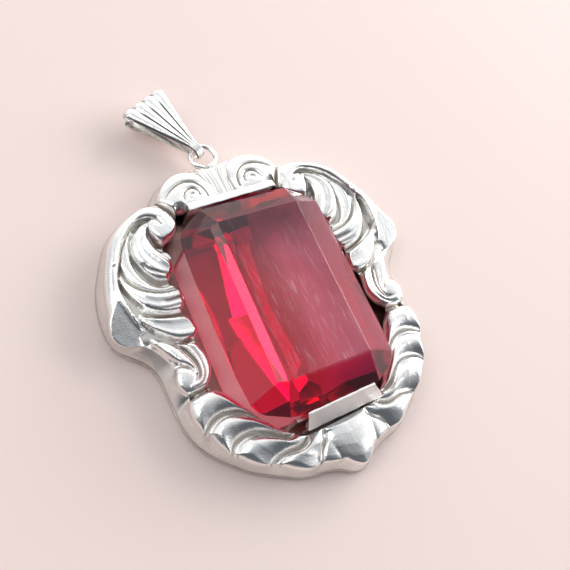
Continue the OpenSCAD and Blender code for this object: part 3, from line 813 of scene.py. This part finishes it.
def loop_path(r0, r1, dist, n0, n1, ns_):
    """Outline of a teardrop loop: tip circle r0 at 0, fold circle r1 at dist."""
    a = math.asin((r1 - r0) / dist)          # lean of the straight legs
    pts = []
    # front leg tip end round the tip to the back leg, then along, round the fold, back
    for k in range(n0):
        t_ = math.pi / 2 + a + (math.pi - 2 * a) * k / (n0 - 1)
        pts.append((r0 * math.cos(t_), r0 * math.sin(t_), 0))
    p0 = pts[-1]
    q = (dist + r1 * math.cos(-math.pi / 2 - a), r1 * math.sin(-math.pi / 2 - a), 1)
    for k in range(1, ns_):
        f = k / ns_
        pts.append((p0[0] + (q[0] - p0[0]) * f, p0[1] + (q[1] - p0[1]) * f, f))
    for k in range(n1):
        t_ = -math.pi / 2 - a + (math.pi + 2 * a) * k / (n1 - 1)
        pts.append((dist + r1 * math.cos(t_), r1 * math.sin(t_), 1))
    p1 = pts[-1]
    q = pts[0]
    for k in range(1, ns_):
        f = k / ns_
        pts.append((p1[0] + (q[0] - p1[0]) * f, p1[1] + (q[1] - p1[1]) * f, 1 - f))
    return np.array(pts)


outer = loop_path(1.08, FOLD_R - .02, v1 + SLACK, 14, 30, 34) - np.array([SLACK, 0, 0])
inner = loop_path(0.62, FOLD_R - .02 - SHEET, v1 + SLACK, 14, 30, 34) - np.array([SLACK, 0, 0])
NW = 65
bv, bdark = [], []
flutes = 4


def half_width(v):
    """Half the bail's width at distance v from the ring wire."""
    if v < .2:
        return TIP_W / 2
    f = (v - .2) / (BAIL_L - 2.1 - .2)
    if f < 1:
        return TIP_W / 2 + (BAIL_W / 2 - .3 - TIP_W / 2) * f
    return min(BAIL_W / 2 - .3 + .3 * (f - 1) / .115, BAIL_W / 2) if f < 1.115 else BAIL_W / 2 - .3 * min((f - 1.115) / .2, 1)


for layer, path in ((0, outer), (1, inner)):
    for k, (v, w, f) in enumerate(path):
        hw = half_width(v)
        # the front leg and the fold carry the flutes, the back leg is plain
        front = 1.0 if w > 0 else smooth01(np.array((v - v1) / FOLD_R)).item()
        if v < 0.3 and w <= 0:
            front = 0.0
        amp = .25 * front * smooth01(np.array((v + .9) / 3.0)).item()
        if v > v1:
            n = np.array([v - v1, w])
        elif v < -SLACK:
            n = np.array([v + SLACK, w])
        else:
            n = np.array([0, np.sign(w)])
        n = n / (np.linalg.norm(n) + 1e-9)
        for j in range(NW):
            s = -1 + 2 * j / (NW - 1)
            flute = abs(math.sin(flutes * math.pi * (s + 1) / 2))
            push = amp * (flute ** .75 - 1.0)
            edge_round = -.10 * max(0, (abs(s) - .93) / .07) ** 2
            off = push * (1 if layer == 0 else .55) + (edge_round if layer == 0 else 0)
            bv.append((hw * s, v + n[0] * off, w + n[1] * off))
            line = smooth01(np.array((.62 - flute) / .62)).item() * (.45 + .85 * smooth01(np.array((BAIL_L - 1.6 - v) / 1.6)).item())
            bdark.append(front * line if layer == 0 else .14)
npth = len(outer)
bf = []
for layer in (0, 1):
    o = layer * npth * NW
    for k in range(npth):
        k2 = (k + 1) % npth
        for j in range(NW - 1):
            q = (o + k * NW + j, o + k * NW + j + 1, o + k2 * NW + j + 1, o + k2 * NW + j)
            bf.append(q)
for k in range(npth):
    k2 = (k + 1) % npth
    o = npth * NW
    for j in (0, NW - 1):
        bf.append((k * NW + j, k2 * NW + j, o + k2 * NW + j, o + k * NW + j))
bv = rotz(bv, 0)
bv = np.array(bv) + np.array([0, RING_R, 0])
bv = rotz(bv, BAIL_TURN) + np.array([0, RING_Y, RING_Z])
bail = make_object("bail_fluted", bv, bf)
point_value(bail, "patina", bdark)
bm = bmesh.new()
bm.from_mesh(bail.data)
bmesh.ops.recalc_face_normals(bm, faces=bm.faces)
bm.to_mesh(bail.data)
bm.free()
mark_sharp(bail, 55)
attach(bail, "bail")
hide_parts("bail")


# ------------------------------------------------------------------ materials
def nodes_of(name):
    mat = bpy.data.materials.new(name)
    mat.use_nodes = True
    nt = mat.node_tree
    nt.nodes.clear()
    out = nt.nodes.new("ShaderNodeOutputMaterial")
    bsdf = nt.nodes.new("ShaderNodeBsdfPrincipled")
    nt.links.new(bsdf.outputs[0], out.inputs["Surface"])
    return mat, nt, bsdf, out


def noise(nt, scale, detail=4, rough=.55, vec=None, distort=0.0):
    n = nt.nodes.new("ShaderNodeTexNoise")
    n.inputs["Scale"].default_value = scale
    n.inputs["Detail"].default_value = detail
    n.inputs["Roughness"].default_value = rough
    n.inputs["Distortion"].default_value = distort
    if vec is not None:
        nt.links.new(vec, n.inputs["Vector"])
    return n.outputs["Fac"]


def ramp(nt, fac, stops):
    r = nt.nodes.new("ShaderNodeValToRGB")
    while len(r.color_ramp.elements) < len(stops):
        r.color_ramp.elements.new(.5)
    for e, (p, c) in zip(r.color_ramp.elements, stops):
        e.position = p
        e.color = (*c, 1) if len(c) == 3 else c
    nt.links.new(fac, r.inputs["Fac"])
    return r.outputs["Color"]


def math_node(nt, op, a, b=None, c=None, clamp=False):
    n = nt.nodes.new("ShaderNodeMath")
    n.operation = op
    n.use_clamp = clamp
    for k, v in enumerate((a, b, c)):
        if v is None:
            continue
        if isinstance(v, (int, float)):
            n.inputs[k].default_value = v
        else:
            nt.links.new(v, n.inputs[k])
    return n.outputs[0]


def mix_color(nt, fac, a, b):
    n = nt.nodes.new("ShaderNodeMix")
    n.data_type = "RGBA"
    for sock, v in ((n.inputs["Factor"], fac), (n.inputs[6], a), (n.inputs[7], b)):
        if isinstance(v, (int, float)):
            sock.default_value = v
        elif isinstance(v, tuple):
            sock.default_value = (*v, 1)
        else:
            nt.links.new(v, sock)
    return n.outputs[2]


def object_coords(nt, stretch=None):
    tc = nt.nodes.new("ShaderNodeTexCoord")
    if stretch is None:
        return tc.outputs["Object"]
    mp = nt.nodes.new("ShaderNodeMapping")
    mp.inputs["Scale"].default_value = stretch
    nt.links.new(tc.outputs["Object"], mp.inputs["Vector"])
    return mp.outputs["Vector"]


def silver(name, base=(.93, .925, .91), rough=(.16, .34), patina=False, patina_color=(.30, .245, .19),
           dent=.12, scratch=.2, cloud=.12, tarnish=(.80, .76, .70)):
    """Polished silver: cloudy polish, fine scratches, small dents, tarnish in the hollows."""
    mat, nt, b, out = nodes_of(name)
    oc = object_coords(nt)
    cloudy = noise(nt, 260, 5, .6, oc)
    fine = noise(nt, 1500, 3, .5, object_coords(nt, (1, .16, 1)))
    fine2 = noise(nt, 1300, 3, .5, object_coords(nt, (.18, 1, 1)))
    col = mix_color(nt, ramp(nt, cloudy, [(.42, (0, 0, 0)), (.75, (cloud * 3, cloud * 3, cloud * 3))]), base, tarnish)
    rgh = nt.nodes.new("ShaderNodeMapRange")
    rgh.inputs["From Min"].default_value = .3
    rgh.inputs["From Max"].default_value = .75
    rgh.inputs["To Min"].default_value = rough[0]
    rgh.inputs["To Max"].default_value = rough[1]
    nt.links.new(math_node(nt, "ADD", math_node(nt, "MULTIPLY", cloudy, .55), math_node(nt, "MULTIPLY", fine, .45)), rgh.inputs["Value"])
    rout = rgh.outputs[0]
    if patina:
        at = nt.nodes.new("ShaderNodeAttribute")
        at.attribute_name = "patina"
        grime = noise(nt, 700, 4, .6, oc)
        k = math_node(nt, "MULTIPLY", at.outputs["Fac"], math_node(nt, "ADD", math_node(nt, "MULTIPLY", grime, 1.0), .75), clamp=True)
        k = math_node(nt, "POWER", k, 1.15, clamp=True)
        col = mix_color(nt, k, col, patina_color)
        rout = math_node(nt, "ADD", rout, math_node(nt, "MULTIPLY", k, .32))
    nt.links.new(col, b.inputs["Base Color"])
    nt.links.new(rout, b.inputs["Roughness"])
    b.inputs["Metallic"].default_value = 1.0
    bump1 = nt.nodes.new("ShaderNodeBump")
    bump1.inputs["Strength"].default_value = dent
    bump1.inputs["Distance"].default_value = .0004
    nt.links.new(noise(nt, 620, 3, .5, oc), bump1.inputs["Height"])
    bump2 = nt.nodes.new("ShaderNodeBump")
    bump2.inputs["Strength"].default_value = scratch
    bump2.inputs["Distance"].default_value = .00008
    grain = noise(nt, 5200, 2, .6, oc)
    nt.links.new(math_node(nt, "ADD", math_node(nt, "ADD", fine, fine2), math_node(nt, "MULTIPLY", grain, 1.6)), bump2.inputs["Height"])
    nt.links.new(bump1.outputs["Normal"], bump2.inputs["Normal"])
    nt.links.new(bump2.outputs["Normal"], b.inputs["Normal"])
    return mat


def assign(ob, mat):
    ob.data.materials.clear()
    ob.data.materials.append(mat)


relief_mat = silver("silver_relief", patina=True)
assign(shell, relief_mat)
assign(bail, silver("silver_bail", rough=(.08, .2), patina=True, dent=.06, patina_color=(.15, .155, .15)))
assign(ring_ob, silver("silver_wire", rough=(.1, .22), dent=.05))
strip_mat = silver("silver_strip", rough=(.16, .30), dent=.08, scratch=.2)
assign(upper, strip_mat)
assign(lower, silver("silver_strip_filed", rough=(.30, .46), dent=.08, scratch=.45))
assign(solder, silver("solder", base=(.72, .69, .64), rough=(.3, .5), dent=.4, tarnish=(.5, .44, .38), cloud=.3))
plate_mat_with_painted_shade = silver("silver_plate", base=(.86, .85, .83), rough=(.24, .42), dent=.05, scratch=.3, cloud=.25)
nt = plate_mat_with_painted_shade.node_tree
b = next(n for n in nt.nodes if n.type == "BSDF_PRINCIPLED")
# painted shade: the plate's face above its back, seen in the gap round the stone, is darkened to a red-brown in place
# of the shadow and red light there
sep = nt.nodes.new("ShaderNodeSeparateXYZ")
nt.links.new(object_coords(nt), sep.inputs[0])
inside = math_node(nt, "MULTIPLY", math_node(nt, "SUBTRACT", sep.outputs["Z"], .0004), 8000.0, clamp=True)
unshaded_plate_colour = b.inputs["Base Color"].links[0].from_socket
nt.links.new(mix_color(nt, inside, unshaded_plate_colour, (.36, .22, .20)), b.inputs["Base Color"])
assign(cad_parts["back_plate"], plate_mat_with_painted_shade)
for n in ("upper_seat", "lower_seat"):
    assign(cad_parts[n], silver("silver_seat_" + n, base=(.8, .79, .77), rough=(.25, .4)))

# stone
mat, nt, b, out = nodes_of("red_glass")
oc = object_coords(nt)
ends = nt.nodes.new("ShaderNodeSeparateXYZ")
nt.links.new(oc, ends.inputs[0])
cloud = noise(nt, 150, 2, .5, oc)
# painted shade: the upper end and the right of the lower end get a darker colour in place of the darkness the light
# through the stone gives there
painted_shade_upper_end = math_node(nt, "MULTIPLY", math_node(nt, "ADD", ends.outputs["Y"], math_node(nt, "MULTIPLY", math_node(nt, "ADD", cloud, .05), .006)), 190.0, clamp=True)
painted_shade_upper_end = math_node(nt, "MULTIPLY", painted_shade_upper_end, math_node(nt, "MULTIPLY", math_node(nt, "SUBTRACT", .0085, ends.outputs["X"]), 260.0, clamp=True), clamp=True)
# painted shade mask for the right of the lower end
near = math_node(nt, "MULTIPLY", math_node(nt, "SUBTRACT", math_node(nt, "MULTIPLY", ends.outputs["Y"], -1.0), .0174), 700.0, clamp=True)
near = math_node(nt, "MULTIPLY", near, math_node(nt, "MULTIPLY", math_node(nt, "ADD", ends.outputs["X"], .0015), 400.0, clamp=True), clamp=True)
colour_with_painted_shade = mix_color(nt, painted_shade_upper_end, (.80, .26, .40), (.36, .12, .23))
nt.links.new(mix_color(nt, near, colour_with_painted_shade, (.40, .13, .24)), b.inputs["Base Color"])
b.inputs["Transmission Weight"].default_value = .955
b.inputs["IOR"].default_value = 1.6
b.inputs["Specular IOR Level"].default_value = .32
wear = noise(nt, 500, 4, .6, oc)
r = nt.nodes.new("ShaderNodeMapRange")
r.inputs["To Min"].default_value = .01
r.inputs["To Max"].default_value = .09
nt.links.new(wear, r.inputs["Value"])
nt.links.new(r.outputs[0], b.inputs["Roughness"])
hair = noise(nt, 1900, 3, .6, object_coords(nt, (1, .06, 1)), .6)
bp = nt.nodes.new("ShaderNodeBump")
bp.inputs["Strength"].default_value = .015
bp.inputs["Distance"].default_value = .00005
nt.links.new(hair, bp.inputs["Height"])
nt.links.new(bp.outputs["Normal"], b.inputs["Normal"])
va = nt.nodes.new("ShaderNodeVolumeAbsorption")
va.inputs["Color"].default_value = (.955, .05, .70, 1)
va.inputs["Density"].default_value = 470
nt.links.new(va.outputs[0], out.inputs["Volume"])
# lamps shine through it and throw red light below
tr = nt.nodes.new("ShaderNodeBsdfTransparent")
tr.inputs["Color"].default_value = (.60, .12, .20, 1)
lp = nt.nodes.new("ShaderNodeLightPath")
mx = nt.nodes.new("ShaderNodeMixShader")
nt.links.new(lp.outputs["Is Shadow Ray"], mx.inputs[0])
frost = nt.nodes.new("ShaderNodeBsdfPrincipled")
frost.inputs["Base Color"].default_value = (.72, .38, .44, 1)
frost.inputs["Roughness"].default_value = .45
lines1 = noise(nt, 5200, 2, .5, object_coords(nt, (1, .07, 1)), .25)
lines2 = noise(nt, 4200, 2, .5, object_coords(nt, (.09, 1, 1)), .3)
spread = noise(nt, 190, 2, .5, oc)
m1 = math_node(nt, "MULTIPLY", math_node(nt, "SUBTRACT", lines1, .54), 4.5, clamp=True)
m2 = math_node(nt, "MULTIPLY", math_node(nt, "SUBTRACT", lines2, .70), 4.5, clamp=True)
sep = nt.nodes.new("ShaderNodeSeparateXYZ")
nt.links.new(oc, sep.inputs[0])
table = math_node(nt, "MULTIPLY", math_node(nt, "SUBTRACT", sep.outputs["Z"], .0085), 4000.0, clamp=True)
msk = math_node(nt, "MULTIPLY", math_node(nt, "MAXIMUM", m1, m2), math_node(nt, "MULTIPLY", spread, .5), clamp=True)
# the table gets more of the pinkish matt layer below its middle, most towards the right, which makes it lighter there
gy = math_node(nt, "MULTIPLY", math_node(nt, "SUBTRACT", math_node(nt, "MULTIPLY", sep.outputs["Y"], -1.0), -.0022), 190.0, clamp=True)
gx = math_node(nt, "MULTIPLY", math_node(nt, "ADD", sep.outputs["X"], .0042), 210.0, clamp=True)
haze = math_node(nt, "MULTIPLY", math_node(nt, "MULTIPLY", gy, gx), math_node(nt, "ADD", math_node(nt, "MULTIPLY", spread, .22), .03))
msk = math_node(nt, "MULTIPLY", msk, math_node(nt, "ADD", math_node(nt, "MULTIPLY", gy, .7), .3))
msk = math_node(nt, "MULTIPLY", math_node(nt, "ADD", msk, haze), table, clamp=True)
fm = nt.nodes.new("ShaderNodeMixShader")
nt.links.new(msk, fm.inputs[0])
nt.links.new(b.outputs[0], fm.inputs[1])
nt.links.new(frost.outputs[0], fm.inputs[2])
nt.links.new(fm.outputs[0], mx.inputs[1])
nt.links.new(tr.outputs[0], mx.inputs[2])
nt.links.new(mx.outputs[0], out.inputs["Surface"])
assign(stone, mat)

# ------------------------------------------------------------------ floor and light
fl = bpy.data.meshes.new("floor")
fl.from_pydata([(-1.5, -1.5, 0), (1.5, -1.5, 0), (1.5, 1.5, 0), (-1.5, 1.5, 0)], [], [(0, 1, 2, 3)])
floor = bpy.data.objects.new("floor", fl)
bpy.context.scene.collection.objects.link(floor)
mat, nt, b, out = nodes_of("floor_pale")
b.inputs["Base Color"].default_value = (.82, .68, .64, 1)
b.inputs["Roughness"].default_value = .8
b.inputs["Specular IOR Level"].default_value = .2
fl.materials.append(mat)
floor.location.z = -0.00005

world = bpy.data.worlds.new("studio")
bpy.context.scene.world = world
world.use_nodes = True
wn = world.node_tree
wn.nodes.clear()
wo = wn.nodes.new("ShaderNodeOutputWorld")
bg = wn.nodes.new("ShaderNodeBackground")
tc = wn.nodes.new("ShaderNodeTexCoord")
dot = wn.nodes.new("ShaderNodeVectorMath")
dot.operation = "DOT_PRODUCT"
dot.inputs[1].default_value = (.52, .60, -.10)      # brighter to the right and beyond the bail, darker on the near side
wn.links.new(tc.outputs["Generated"], dot.inputs[0])
mr = wn.nodes.new("ShaderNodeMapRange")
mr.inputs["From Min"].default_value = -.4
mr.inputs["From Max"].default_value = .4
wn.links.new(dot.outputs["Value"], mr.inputs["Value"])
cr = wn.nodes.new("ShaderNodeValToRGB")
stops = [(0.0, (.10, .11, .125)), (.25, (.27, .29, .315)), (.5, (.56, .585, .615)), (.80, (.73, .755, .78)), (1.0, (1.12, 1.13, 1.14))]
while len(cr.color_ramp.elements) < len(stops):
    cr.color_ramp.elements.new(.5)
for e, (p, c) in zip(cr.color_ramp.elements, stops):
    e.position = p
    e.color = (*c, 1)
wn.links.new(mr.outputs[0], cr.inputs["Fac"])
wn.links.new(cr.outputs["Color"], bg.inputs["Color"])
bg.inputs["Strength"].default_value = 1.0
wn.links.new(bg.outputs[0], wo.inputs["Surface"])


def area(name, loc, target, size, power, color=(1, 1, 1), size_y=None):
    ld = bpy.data.lights.new(name, "AREA")
    ld.shape = "RECTANGLE"
    ld.size = size
    ld.size_y = size_y or size
    ld.energy = power
    ld.color = color
    ob = bpy.data.objects.new(name, ld)
    bpy.context.scene.collection.objects.link(ob)
    ob.location = loc
    ob.rotation_euler = (Vector(target) - Vector(loc)).to_track_quat("-Z", "Y").to_euler()
    return ob


area("soft_right", (.42, .06, .17), (0, 0, 0), .50, 2.1, (1, 1, 1), .22)
area("soft_top_left", (-.22, .13, .37), (0, 0, 0), .30, .55, (1, .995, .98), .30)
area("soft_left", (-.38, .11, .17), (0, 0, 0), .30, .18, (1, .985, .97), .28)
area("soft_right_near", (.42, -.17, .30), (0, 0, 0), .30, .26, (1, 1, 1), .30)
area("soft_back", (.16, .42, .06), (0, 0, .01), .36, .35, (1, 1, 1), .10)

sc = bpy.context.scene
sc.view_settings.view_transform = "Standard"
sc.view_settings.look = "None"
sc.view_settings.exposure = 0.0
sc.view_settings.gamma = 1.0
